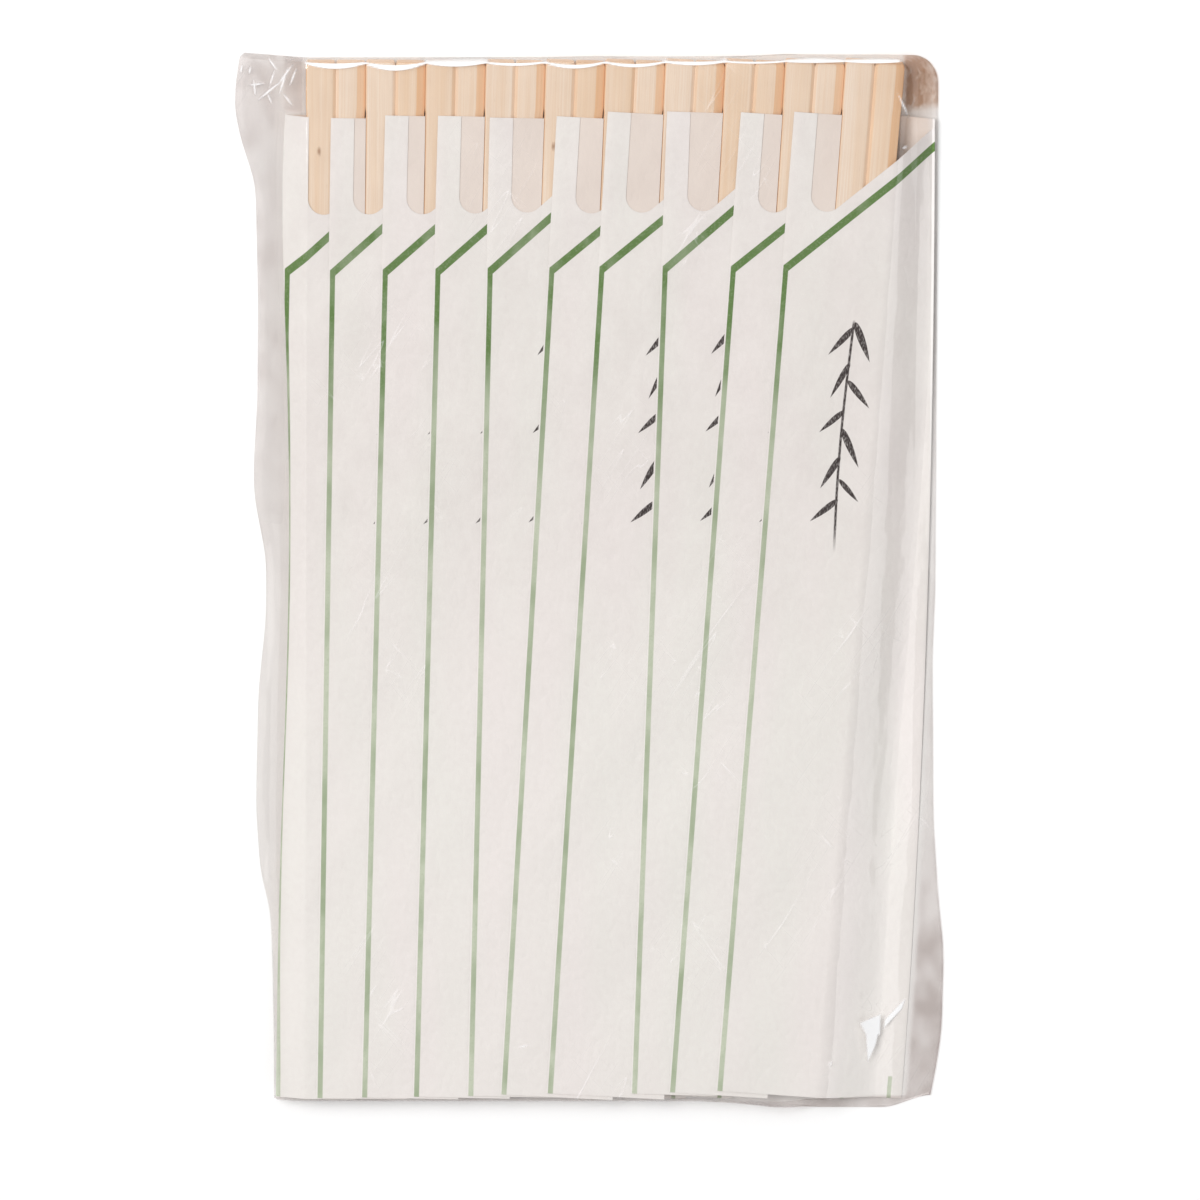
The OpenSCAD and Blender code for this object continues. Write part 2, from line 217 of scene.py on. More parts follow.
def maths(tree, operation, *values, clamp=False):
    """The result of one sum on numbers or sockets."""
    inputs = dict(enumerate(values))
    return node(tree, "ShaderNodeMath", inputs, operation=operation, use_clamp=clamp).outputs[0]


def ramp(tree, factor, low, high, out_low=0.0, out_high=1.0):
    """factor carried from the range low to high into out_low to out_high, and held there beyond."""
    inputs = {"Value": factor, "From Min": low, "From Max": high, "To Min": out_low, "To Max": out_high}
    return node(tree, "ShaderNodeMapRange", inputs).outputs[0]


def mixed(tree, factor, first, second, kind="MIX"):
    """Two colours mixed by a factor."""
    inputs = {0: factor, 6: first, 7: second}
    return node(tree, "ShaderNodeMix", inputs, data_type="RGBA", blend_type=kind).outputs[2]


def noise(tree, place, scale, detail=3.0, roughness=0.5):
    """Noise at a place that is scaled by three numbers first."""
    scaled = node(tree, "ShaderNodeMapping", {"Vector": place, "Scale": scale}).outputs[0]
    inputs = {"Vector": scaled, "Scale": 1.0, "Detail": detail, "Roughness": roughness}
    return node(tree, "ShaderNodeTexNoise", inputs).outputs[0]


def turned(tree, place, turn):
    """A place turned about the vertical by an angle in radians."""
    inputs = {"Vector": place, "Rotation": (0.0, 0.0, turn)}
    return node(tree, "ShaderNodeMapping", inputs).outputs[0]


def wood_finish():
    """Pale planed softwood: long streaks of grain, finer dark fibres and flecks, a tone for each
    stick, and two small knots, all laid along the stick by its flat map."""
    material, tree, shader = new_material("planed_softwood")
    place = node(tree, "ShaderNodeUVMap", uv_map="flat_mm").outputs[0]
    streak = noise(tree, place, (0.55, 0.012, 1), 4.0, 0.6)
    fibre = noise(tree, place, (3.4, 0.03, 1), 3.0, 0.65)
    fleck = noise(tree, place, (7.0, 0.35, 1), 2.0)
    tone = node(tree, "ShaderNodeAttribute", attribute_name="tone").outputs["Fac"]
    shade = maths(tree, "ADD", maths(tree, "MULTIPLY", streak, 0.75), maths(tree, "MULTIPLY", tone, 0.3))
    colour = mixed(tree, ramp(tree, shade, 0.32, 0.78), srgb(235, 208, 179), srgb(244, 231, 217))
    colour = mixed(tree, ramp(tree, fibre, 0.62, 0.40, 0.0, 0.45), colour, srgb(229, 200, 171))
    colour = mixed(tree, ramp(tree, fleck, 0.67, 0.75, 0.0, 0.3), colour, srgb(196, 156, 119))
    for knot in ((-12.9, 17.3, 0.0), (147.6, 16.4, 0.0)):
        away = node(tree, "ShaderNodeVectorMath", {0: place, 1: knot}, operation="SUBTRACT").outputs[0]
        shape = {0: away, 1: (1.0, 0.45, 0.0)}
        oval = node(tree, "ShaderNodeVectorMath", shape, operation="MULTIPLY").outputs[0]
        far = node(tree, "ShaderNodeVectorMath", {0: oval}, operation="LENGTH").outputs["Value"]
        rough_edge = maths(tree, "ADD", far, maths(tree, "MULTIPLY", fleck, 0.5))
        colour = mixed(tree, ramp(tree, rough_edge, 0.75, 0.35, 0.0, 0.7), colour, srgb(150, 104, 70))
    # A warm, darker multiply: painted shade on the outer bevels and in the groove, and the head's darker
    # end grain.
    warm = node(tree, "ShaderNodeAttribute", attribute_name="warm").outputs["Fac"]
    colour = mixed(tree, maths(tree, "MULTIPLY", warm, 0.85), colour, srgb(255, 232, 206), "MULTIPLY")
    tree.links.new(colour, shader.inputs["Base Color"])
    relief = maths(tree, "ADD", fibre, maths(tree, "MULTIPLY", fleck, 0.4))
    bump = node(tree, "ShaderNodeBump", {"Height": relief, "Strength": 0.25, "Distance": 0.00006})
    tree.links.new(bump.outputs[0], shader.inputs["Normal"])
    shader.inputs["Roughness"].default_value = 0.62
    shader.inputs["Specular IOR Level"].default_value = 0.3
    return material


softwood = wood_finish()
for k in PAIRS:
    pair = make_pair(k)
    pair.data.materials.append(softwood)
    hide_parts(f"chopsticks_{k + 1:02d}")
    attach(pair, "root")

# The sleeves: each pair is in a flat sleeve of thin white paper, folded along both sides, shut at
# the foot and printed with a green line. The front is cut with a slanted mouth that ends in a
# round thumb notch. A sleeve's left margin lies on the pair before, its right one under the next.
SLEEVE_W, SLEEVE_L = 36.5, 195.0
STRIP_W, NOTCH_W, NOTCH_D, MOUTH_RISE = 4.5, 6.2, 20.3, np.radians(43.0)
LEFT_MARGIN = np.array([4.1, 6.8, 7.8, 9.1, 10.6, 9.1, 10.8, 10.9, 8.1, 9.3])
TURN = np.radians([0.3, 0.1, 0.2, -0.2, -0.8, 0.7, 0.5, -1.4, 0.2, 0.1])
SQUEEZE, MARGIN_LIFT, MARGIN_DROOP, LAST_MARGIN, FIRST_FOLD_H = 9.2, 1.0, 0.25, 5.4, 2.2
MOUTH_TOP = np.array([1.25, 1.6, 1.2, 1.4, 1.9, 1.7, 1.0, 1.1, 1.2, 1.3])
FOLD_BOW = np.array([(0, 0.1), (25, -0.2), (45, 0.45), (75, 1.6),
                     (107, 1.4), (138, 0.85), (168, 0.3), (195, 0.25)])
PRINT_SHIFT = np.array([(31, 0.0), (45, 0.6), (75, 0.88), (107, 0.86),
                        (138, 1.0), (168, 0.82), (190, 0.42)])
DRAWN_T, WELD_GAP = 0.06, 0.002
SHEET_STEP = PAPER_T + LAYER_CLEAR
WALL_OFF = SIDE_CLEAR + PAPER_T / 2
RIGHT_BACK_H = -LAYER_CLEAR - PAPER_T / 2
NOTCH_R = NOTCH_W / 2
NOTCH_X, NOTCH_Y = STRIP_W + NOTCH_R, NOTCH_D - NOTCH_R
MOUTH_FOOT = NOTCH_Y + NOTCH_R / np.cos(MOUTH_RISE) + NOTCH_X * np.tan(MOUTH_RISE)


def mouth_start(k, s):
    """Where the front of sleeve k begins: at the notch's middle for the strip, round the bottom of
    the notch, then along the slanted edge until it runs out at the top edge, which is trimmed a
    little differently on each sleeve."""
    arc = NOTCH_Y + np.sqrt(np.clip(NOTCH_R ** 2 - (s - NOTCH_X) ** 2, 0, None))
    slant = np.clip(MOUTH_FOOT - s * np.tan(MOUTH_RISE), MOUTH_TOP[k], None)
    on_arc = s < NOTCH_X + NOTCH_R * np.sin(MOUTH_RISE)
    return np.where(s <= STRIP_W, NOTCH_Y, np.where(on_arc, arc, slant))


def waviness(x, y):
    """Height of the slack paper's soft waves over the pack, which all sheets share."""
    broad = np.sin(x / 9.0 + y / 31.0) * np.sin(y / 23.0 + 0.8)
    slow = broad + 0.6 * np.sin(x / 5.1 - y / 47.0 + 1.9)
    return 0.07 * (slow + 1.6)


def pair_side(k, l, side):
    """Place of the pair's left or right side across sleeve k, at a length l below the mouth."""
    if side < 0:
        return LEFT_MARGIN[k] + l * np.tan(TURN[k] + HALF_TAPER)
    return LEFT_MARGIN[k] + pair_width(HEAD_OUT) + l * np.tan(TURN[k] - HALF_TAPER)


def right_fold(k, l):
    """Place of the right fold; the bag presses in that of the last sleeve towards the mouth."""
    return SLEEVE_W - (SQUEEZE * (1 - l / SLEEVE_L) ** 1.7 if k == PAIRS[-1] else 0 * l)


def left_height(k, l):
    """Height of the back panel at the left fold: on the pair before, or hanging on the first one."""
    step = (pair_width(HEAD_OUT + l) + SIDE_GAP) * np.sin(ROLL)
    on_pair = pair_thickness(HEAD_OUT + l) - step + LAYER_CLEAR + SHEET_STEP + PAPER_T / 2
    return 0 * l + FIRST_FOLD_H if k == 0 else on_pair


def fold_bow(l):
    """How far the bag presses in the left fold of the first sleeve, on a smooth curve down it."""
    return np.polyval(np.polyfit(*FOLD_BOW.T, 5), np.clip(l, 0, SLEEVE_L))


def print_shift(k, l):
    """How far the print of the first sleeve has run round its left fold; the others lie true."""
    return np.interp(l, *PRINT_SHIFT.T) if k == 0 else 0 * l


def sleeve_in_pack(k, s, l, h):
    """Points of sleeve k, s across from its left fold, l down from its top and h over its pair's
    underside, in the pack. Sheets over the wood share the pack's soft waves."""
    if k == 0:
        s = s + fold_bow(l) * np.clip(1 - s / pair_side(0, l, -1), 0, 1)
    x = s * np.cos(TURN[k]) - l * np.sin(TURN[k]) - pair_width(HEAD_OUT) / 2 - LEFT_MARGIN[k]
    y = -HEAD_OUT - s * np.sin(TURN[k]) - l * np.cos(TURN[k])
    points = in_pack(k, x, y, h)
    over_wood = np.clip((points[..., 2] - 4.0) / 1.5, 0, 1) * eased(l / 12)
    points[..., 2] += over_wood * waviness(points[..., 0], points[..., 1])
    return points


def front_height(k, s, l):
    """Height of the front panel left of its wall: it climbs from the left fold to the pair's left
    side and is level over the pair."""
    start = left_height(k, l) + SHEET_STEP
    top = pair_thickness(HEAD_OUT + l) + LAYER_CLEAR + PAPER_T / 2
    side = pair_side(k, l, -1)
    f = np.clip(s / side, 0, 1)
    return start + (top - start) * (eased(f) * 0.35 + f * 0.65)


def slope_foot(k, l):
    """Where the wall beside the pair reaches the margin. That of the last sleeve slopes out freely,
    and leaves a margin that opens from nearly nothing at the mouth."""
    wall = pair_side(k, l, 1) + WALL_OFF
    opened = 0.5 + (LAST_MARGIN - 0.5) * eased((l / SLEEVE_L - 0.15) / 0.65)
    return right_fold(k, l) - opened if k == PAIRS[-1] else wall


def margin_lift(k, s, l):
    """How far the bag holds up the last sleeve's margin, eased in from the pair to the margin."""
    if k != PAIRS[-1]:
        return 0 * s
    wall = pair_side(k, l, 1) + WALL_OFF
    lift = MARGIN_LIFT * (1 - l / SLEEVE_L) ** 2 - MARGIN_DROOP * eased(1.3 * l / SLEEVE_L)
    return lift * eased((s - wall) / (slope_foot(k, l) - wall))


def right_part(k, l, drop, out):
    """The front panel from its wall on: drop runs from 0 to 1 down the wall, then out from 0 to 1
    over the margin to the right fold. The last wall is a slope that flattens out below."""
    last = k == PAIRS[-1]
    wall, foot = pair_side(k, l, 1) + WALL_OFF, slope_foot(k, l)
    s = wall + (foot - wall) * drop + (right_fold(k, l) - foot) * out
    top = pair_thickness(HEAD_OUT + l) + LAYER_CLEAR + PAPER_T / 2
    low = RIGHT_BACK_H + SHEET_STEP + margin_lift(k, foot, l)
    fallen = 0.6 * drop + 0.4 * eased(drop) if last else drop
    return s, top + (low - top) * fallen


def spaced(*runs):
    """Fractions that run through each (from, to, count) in turn."""
    return np.unique(np.concatenate([np.linspace(*run) for run in runs]))


def make_sleeve(k):
    """Sleeve k as one sheet: the strip beside the notch, the front below the mouth, the wall beside
    the pair and the right margin, then the back panel from fold to fold and the shut foot."""
    last = k == PAIRS[-1]
    strip_s = np.linspace(0, STRIP_W, 7)
    angle = np.radians(np.linspace(0, 90 + np.degrees(MOUTH_RISE), 17))[1:]
    arc_s = NOTCH_X - NOTCH_R * np.cos(angle)
    drift = np.tan(TURN[k] - HALF_TAPER)
    wall_0 = pair_side(k, 0.0, 1) + WALL_OFF
    wall_s = (wall_0 + drift * MOUTH_FOOT) / (1 + drift * np.tan(MOUTH_RISE))
    top_s = np.concatenate([strip_s, arc_s, np.linspace(arc_s[-1], wall_s, 15)[1:]])
    drop = np.concatenate([np.linspace(0, 1, 9 if last else 5)[1:], np.ones(12)])
    out = np.concatenate([np.zeros(8 if last else 4), np.linspace(0, 1, 13)[1:]])

    above, below = 13, 56
    down = np.linspace(0, 1, below) ** 1.35
    start = mouth_start(k, top_s)
    l = start + down[:, None] * (SLEEVE_L - start)
    s = top_s + (l - start) * drift * top_s / wall_s
    h = front_height(k, s, l)
    right_start = np.zeros(len(drop))
    for _ in range(4):
        right_start = mouth_start(k, right_part(k, right_start, drop, out)[0])
    right_l = right_start + down[:, None] * (SLEEVE_L - right_start)
    right_s, right_h = right_part(k, right_l, drop, out)
    l, s, h = np.hstack([l, right_l]), np.hstack([s, right_s]), np.hstack([h, right_h])

    strip_l = np.repeat(np.linspace(MOUTH_TOP[k], NOTCH_Y, above)[:, None], len(strip_s), axis=1)
    strip_across = np.repeat(strip_s[None], above, axis=0)
    strip_h = front_height(k, strip_across, strip_l)

    back_f = spaced((0, 1, 6), (1, 2, 5), (2, 3, 13))
    left_l = np.concatenate([strip_l[:-1, 0], l[:, 0]])
    fold_l = np.concatenate([np.linspace(MOUTH_TOP[k], right_start[-1], above)[:-1], right_l[:, -1]])
    back_l = left_l[:, None] + (fold_l - left_l)[:, None] * back_f / 3
    side, fold = pair_side(k, back_l, -1) - WALL_OFF, right_fold(k, back_l)
    start_h = left_height(k, back_l)
    far = np.clip(back_f - 2, 0, 1)
    back_s = side * np.clip(back_f, 0, 1) + (fold - side) * far
    back_h = start_h + (RIGHT_BACK_H - start_h) * np.clip(back_f - 1, 0, 1)
    back_h += margin_lift(k, back_s, back_l)
    back_h[:, -1] += SHEET_STEP / 2
    h[:, -1] = back_h[above - 1:, -1]
    h[:, 0], strip_h[:, 0] = left_height(k, l[:, 0]), left_height(k, strip_l[:, 0])

    blocks = [(s, l, h, 1.0), (strip_across, strip_l, strip_h, 1.0), (back_s, back_l, back_h, 0.0)]
    points, flat, front, faces, start = [], [], [], [], 0
    for block_s, block_l, block_h, is_front in blocks:
        points.append(sleeve_in_pack(k, block_s, block_l, block_h).reshape(-1, 3))
        flat.append(np.stack([(block_s + print_shift(k, block_l)).ravel(), block_l.ravel()], axis=1))
        # 1 on the front, which takes the print, and on the folds; 0 on the back panel, which the paper's
        # finish paints darker as painted shade.
        printed = np.full(block_s.shape, is_front)
        printed[:, [0, -1]] = 1.0
        front.append(printed.ravel())
        cells = grid_faces(*block_s.shape, start)
        faces += list(cells[:, ::-1] if is_front else cells)
        start += block_s.size
    front_foot = (below - 1) * s.shape[1] + np.arange(s.shape[1])
    back_foot = start - back_s.shape[1] + np.arange(back_s.shape[1])
    faces.append(np.concatenate([back_foot, front_foot[-2:0:-1]]))
    piece = make_piece(f"paper_sleeve_{k + 1:02d}", np.concatenate(points), faces,
                       np.concatenate(flat), front=np.concatenate(front))
    weld = piece.modifiers.new("folds", "WELD")
    weld.merge_threshold = WELD_GAP / 1000.0
    thick = piece.modifiers.new("paper", "SOLIDIFY")
    thick.thickness, thick.offset = DRAWN_T / 1000.0, 0.0
    return piece


def brush_leaf(tree, s, l, root, angle, length, width):
    """A leaf drawn with one stroke of a brush: 1 inside a pointed oval that starts at its root and
    runs along the angle, which is fullest a third of the way along."""
    away_s, away_l = maths(tree, "SUBTRACT", s, root[0]), maths(tree, "SUBTRACT", l, root[1])
    run_s, run_l = float(np.cos(angle)), float(np.sin(angle))
    along_s, along_l = maths(tree, "MULTIPLY", away_s, run_s), maths(tree, "MULTIPLY", away_l, run_l)
    along = maths(tree, "DIVIDE", maths(tree, "ADD", along_s, along_l), length)
    aside_l, aside_s = maths(tree, "MULTIPLY", away_l, run_s), maths(tree, "MULTIPLY", away_s, run_l)
    off = maths(tree, "ABSOLUTE", maths(tree, "SUBTRACT", aside_l, aside_s))
    rest = maths(tree, "SUBTRACT", 1.0, along, clamp=True)
    full = maths(tree, "MULTIPLY", maths(tree, "POWER", maths(tree, "MAXIMUM", along, 0.0), 0.5), rest)
    return ramp(tree, maths(tree, "SUBTRACT", maths(tree, "MULTIPLY", full, 1.3 * width), off), 0.0, 0.07)


def paper_finish():
    """Thin uncoated white paper with a faint fibre cloud, a green printed line that bends at the
    mouth and follows the left fold, worn in places, and a sprig of brushed leaves."""
    material, tree, shader = new_material("printed_white_paper")
    place = node(tree, "ShaderNodeUVMap", uv_map="flat_mm").outputs[0]
    solid = node(tree, "ShaderNodeTexCoord").outputs["Object"]
    across = node(tree, "ShaderNodeSeparateXYZ", {0: place}).outputs
    s, l = across[0], across[1]
    front = node(tree, "ShaderNodeAttribute", attribute_name="front").outputs["Fac"]

    cloud = noise(tree, solid, (900, 900, 900), 2.0, 0.6)
    drift = noise(tree, solid, (75, 14, 20), 1.0)
    paper = mixed(tree, ramp(tree, drift, 0.35, 0.65), srgb(239, 234, 232), srgb(237, 235, 231))
    paper = mixed(tree, ramp(tree, cloud, 0.35, 0.7, 0.0, 0.35), paper, srgb(231, 226, 223))
    # The back panel, seen through the notch, is painted darker and warmer: painted shade under the front.
    paper = mixed(tree, maths(tree, "SUBTRACT", 1.0, front), paper, srgb(233, 222, 214))

    bend, line_s, line_w, slant_w, blur = 31.6, 0.76, 0.98, 1.45, 0.05
    rise, slant_l = float(np.tan(MOUTH_RISE)), slant_w / float(np.cos(MOUTH_RISE))
    under = maths(tree, "SUBTRACT", l, maths(tree, "SUBTRACT", bend, maths(tree, "MULTIPLY", s, rise)))
    below = ramp(tree, under, -blur, blur)
    slant = ramp(tree, under, slant_l + blur, slant_l - blur)
    off_line = maths(tree, "ABSOLUTE", maths(tree, "SUBTRACT", s, line_s))
    edge = ramp(tree, off_line, line_w / 2 + blur, line_w / 2 - blur)
    inset = ramp(tree, s, line_s - line_w / 2 - blur, line_s - line_w / 2 + blur)
    bent = maths(tree, "MAXIMUM", slant, edge)
    line = maths(tree, "MULTIPLY", maths(tree, "MULTIPLY", below, inset), bent)
    tick_at, tick_half_w, tick_top = 34.0, 0.4, 190.7
    off_tick = maths(tree, "ABSOLUTE", maths(tree, "SUBTRACT", s, tick_at))
    tick = maths(tree, "MULTIPLY", ramp(tree, off_tick, tick_half_w + blur, tick_half_w - blur),
                 ramp(tree, l, tick_top - 2 * blur, tick_top + 2 * blur))
    line = maths(tree, "MULTIPLY", maths(tree, "MAXIMUM", line, tick), front)

    grain = noise(tree, solid, (2600, 2600, 2600), 1.0, 0.7)
    worn = noise(tree, solid, (90, 45, 30), 3.0, 0.7)
    fade = maths(tree, "ADD", ramp(tree, l, 36.0, 68.0, 0.0, 0.72), ramp(tree, l, 68.0, 170.0, 0.0, 0.12))
    fade = maths(tree, "ADD", fade, ramp(tree, worn, 0.35, 0.65, -0.3, 0.3), clamp=True)
    green = mixed(tree, fade, srgb(94, 128, 64), srgb(198, 206, 186))
    green = mixed(tree, ramp(tree, grain, 0.5, 0.75, 0.0, 0.35), green, srgb(160, 176, 142))
    colour = mixed(tree, line, paper, green)

    sway = maths(tree, "MULTIPLY", maths(tree, "SINE", maths(tree, "MULTIPLY", l, 0.07)), 0.6)
    off_stem = maths(tree, "ABSOLUTE", maths(tree, "SUBTRACT", maths(tree, "SUBTRACT", s, 14.6), sway))
    stem_end = maths(tree, "MULTIPLY", ramp(tree, l, 41.0, 42.0), ramp(tree, l, 87.0, 82.0))
    sprig = maths(tree, "MULTIPLY", ramp(tree, off_stem, 0.3, 0.18), stem_end)
    leaves = (((15.0, 41.5), 1.15, 8.5, 1.5), ((14.9, 42.5), 2.25, 7.5, 1.3), ((14.6, 49.5), 2.0, 8.0, 1.2),
              ((14.5, 53.0), 0.85, 7.0, 1.3), ((14.2, 59.0), 2.35, 6.5, 1.2), ((14.1, 62.5), 1.1, 8.5, 1.4),
              ((14.2, 68.0), 2.05, 7.5, 1.3), ((14.3, 72.5), 0.8, 6.0, 1.1), ((14.4, 76.5), 2.4, 7.0, 1.3))
    for root, angle, length, width in leaves:
        sprig = maths(tree, "MAXIMUM", sprig, brush_leaf(tree, s, l, root, angle, length, width))
    dry = ramp(tree, noise(tree, place, (6.0, 1.2, 1), 1.0, 0.7), 0.7, 0.5, 0.6, 1.0)
    sprig = maths(tree, "MULTIPLY", maths(tree, "MULTIPLY", sprig, dry), front)
    colour = mixed(tree, sprig, colour, srgb(44, 30, 28))

    tree.links.new(colour, shader.inputs["Base Color"])
    puckers = noise(tree, solid, (260, 170, 200), 2.0, 0.55)
    cockle = maths(tree, "ABSOLUTE", maths(tree, "SUBTRACT", puckers, 0.5))
    relief = maths(tree, "ADD", maths(tree, "MULTIPLY", cloud, 0.12), cockle)
    swell = noise(tree, turned(tree, solid, 0.6), (70, 18, 40), 0.0)
    creases = {"Height": swell, "Strength": 0.5, "Distance": 0.002}
    creased = node(tree, "ShaderNodeBump", creases).outputs[0]
    fine = {"Height": relief, "Strength": 0.3, "Distance": 0.0008, "Normal": creased}
    bump = node(tree, "ShaderNodeBump", fine)
    tree.links.new(bump.outputs[0], shader.inputs["Normal"])
    shader.inputs["Roughness"].default_value = 0.7
    shader.inputs["Specular IOR Level"].default_value = 0.25
    return material


white_paper = paper_finish()
for k in PAIRS:
    sleeve = make_sleeve(k)
    sleeve.data.materials.append(white_paper)
    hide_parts(f"sleeve_{k + 1:02d}")
    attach(sleeve, "root")

# The bag: a tube of thin clear film, drawn over the row and heat sealed at both ends. It is taut
# over the wood, and slack where it stands out: a crumpled ear at the head's left corner, a
# folded-in corner on the right, and a flap past the foot.
FILM_EDGE_H, FILM_CLEAR, TOP_CLEAR, FILM_LOW, UNDER_Z = 0.35, 0.15, 0.12, 0.12, 0.03
FOOT_LEFT_Y, FOOT_RIGHT_Y, PAPER_END_Y = -205.2, -207.0, -204.5
CORNER_R = 5.5
# Where the upper film bends over the first fold, the first pair and the last pair: the place across
# at the head and at the foot.
FOLD_BEND, FIRST_BEND, LAST_BEND, FOLD_H = (-9.7, -12.55), (-5.7, -6.73), (109.9, 93.8), 3.97
# The long edges as (y, x) and the head edge as (x, y), measured from the first pair's head.
LEFT_EDGE = np.array([
    [1.5, -18.3], [-3.7, -19.3], [-9.9, -19.7], [-16.6, -18.2], [-24.2, -15.6], [-47, -15.2],
    [-67, -15.4], [-80, -16.2], [-86, -16.1], [-98, -13.8], [-110, -13.9], [-124, -15.4],
    [-147, -16.0], [-160, -15.2], [-168, -13.2], [-178, -12.9], [-190, -12.7], [-208, -12.6]])
RIGHT_EDGE = np.array([
    [1.5, 116.5], [-104, 116.3], [-118, 115.8], [-150, 116.1], [-164, 117.0],
    [-176, 118.2], [-192, 117.8], [-200, 116.6], [-208, 115.0]])
HEAD_EDGE = np.array([
    [-19.5, 1.2], [-7, 0.25], [30, 0.3], [42, 0.36], [52, 0.55], [60, 0.45],
    [82, 0.5], [90, 0.95], [98, 0.85], [110, 0.85], [117, 0.75]])
# Creases where the film is crumpled, each with its start, end, height and half width. They are raised, and
# whitened partly as the film's own stress whitening and partly as painted highlight.
EAR_CREASES = (
    ((-8.2, -0.3), (-11.2, -4.8), 0.26, 0.42), ((-10.4, -3.8), (-15.2, -8.0), 0.30, 0.48),
    ((-9.1, -0.8), (-11.0, -6.8), 0.22, 0.34), ((-15.9, -3.6), (-15.5, -7.4), 0.24, 0.36),
    ((-17.0, -5.1), (-13.6, -4.5), 0.20, 0.32), ((-17.9, -0.6), (-18.5, -3.0), 0.14, 0.26),
    ((-13.2, 0.7), (-11.2, -2.0), 0.18, 0.30), ((-7.5, -1.0), (-8.9, -4.8), 0.18, 0.30),
    ((-11.7, -1.6), (-12.9, -5.4), 0.14, 0.26), ((-16.1, -0.6), (-16.9, -3.2), 0.14, 0.26),
    ((-10.2, -6.2), (-8.2, -8.6), 0.14, 0.28), ((-13.4, -6.0), (-12.2, -8.8), 0.12, 0.24),
)
MARGIN_CREASES = (
    ((95.0, -199.7), (96.6, -196.4), 0.35, 0.4), ((108.6, -5.8), (110.8, -10.6), 0.3, 0.4),
    ((109.2, -16.2), (110.6, -16.6), 0.25, 0.35), ((35.2, -194.0), (37.4, -193.4), 0.2, 0.3),
)
# Taut facets of the crumpled film between those creases, by their corners, painted white as painted glints.
GLINTS = (
    ((101.6, -189.5), (102.8, -192.0), (106.0, -192.6), (106.1, -188.0)),
    ((102.7, -190.2), (103.3, -198.2), (105.1, -194.5), (106.1, -190.2)),
    ((106.6, -189.3), (106.3, -191.6), (110.2, -187.6), (111.2, -184.7)),
)
# The painted highlight where the film rolls over each head, a white band: how far it sags, and its width.
PAINTED_HEAD_SAG = np.array([1.0, 1.4, 0.65, 0.55, 1.1, 0.9, 0.55, 0.3, 0.2, 0.3])
PAINTED_HEAD_W = np.array([1.0, 1.05, 0.9, 0.5, 0.7, 0.6, 0.65, 0.35, 0.55, 0.6])


def along_edge(edge, y):
    """Smooth place across of one long edge of the bag at y."""
    fine = np.linspace(edge[-1, 0] - 8, edge[0, 0] + 8, 900)
    straight = np.interp(fine, edge[::-1, 0], edge[::-1, 1])
    spread = np.exp(-0.5 * (np.arange(-30, 31) / 9.0) ** 2)
    padded = np.pad(straight, 30, mode="edge")
    return np.interp(y, fine, np.convolve(padded, spread / spread.sum(), mode="valid"))


def ridge(x, y, start, end, width):
    """1 along a crease from start to end, falling straight to 0 at its half width, which narrows to
    a point at both ends."""
    start, run = np.array(start), np.array(end) - np.array(start)
    f = np.clip(((x - start[0]) * run[0] + (y - start[1]) * run[1]) / (run @ run), 0, 1)
    off = np.hypot(x - start[0] - f * run[0], y - start[1] - f * run[1])
    full = np.sin(np.pi * f)
    return np.clip(1 - off / (width * (0.3 + 0.7 * full)), 0, 1) * (0.4 + 0.6 * full)


def inside(x, y, corners, soft=0.4):
    """1 inside a convex patch, falling to 0 at its sides, whose corners run anticlockwise."""
    corners = np.array(corners)
    sides = np.roll(corners, -1, axis=0) - corners
    depth = [(side[0] * (y - start[1]) - side[1] * (x - start[0])) / np.hypot(*side)
             for start, side in zip(corners, sides)]
    return eased(np.min(depth, axis=0) / soft)


def stack_top(d):
    """Height of the film that lies on the left edges of the shingled pairs."""
    raised = pair_width(d) / 2 * np.sin(ROLL)
    return BASE_Z + raised + pair_thickness(d) + 3 * SHEET_STEP + TOP_CLEAR


def last_fold(y):
    """Place and height of the film over the last sleeve's right fold at y."""
    l = np.linspace(0, SLEEVE_L, 60)
    h = RIGHT_BACK_H + SHEET_STEP + margin_lift(PAIRS[-1], right_fold(PAIRS[-1], l), l)
    line = sleeve_in_pack(PAIRS[-1], right_fold(PAIRS[-1], l), l, h) + ROW_CENTRE
    x = np.interp(-y, -line[:, 1], line[:, 0])
    return x, np.interp(-y, -line[:, 1], line[:, 2]) + FILM_CLEAR


def past_heads(x, y):
    """How far y is past the line through the foremost corners of the leant heads."""
    return y - HEAD_W / 2 * np.sin(np.interp(x, HEAD_X, LEAN))


def painted_head_highlight(x, y):
    """1 on the painted highlight along the heads, a white band which hangs from the gaps between the pairs:
    it sags and widens towards the middle of each pair as a half wave."""
    k = np.clip(np.searchsorted(HEAD_X - (HEAD_W + SIDE_GAP) / 2, x) - 1, 0, PAIRS[-1])
    across = np.clip((x - HEAD_X[k]) / (HEAD_W + SIDE_GAP) + 0.5, 0, 1)
    wave = np.sin(np.pi * across) ** 0.8
    low = -0.1 - PAINTED_HEAD_SAG[k] * wave
    high = low + 0.25 + (PAINTED_HEAD_W[k] - 0.25) * wave
    past = past_heads(x, y)
    ends = eased((x + 6.2) / 0.8) * eased((109.8 - x) / 1.5)
    return eased((past - low) / 0.15 + 0.5) * eased((high - past) / 0.15 + 0.5) * ends


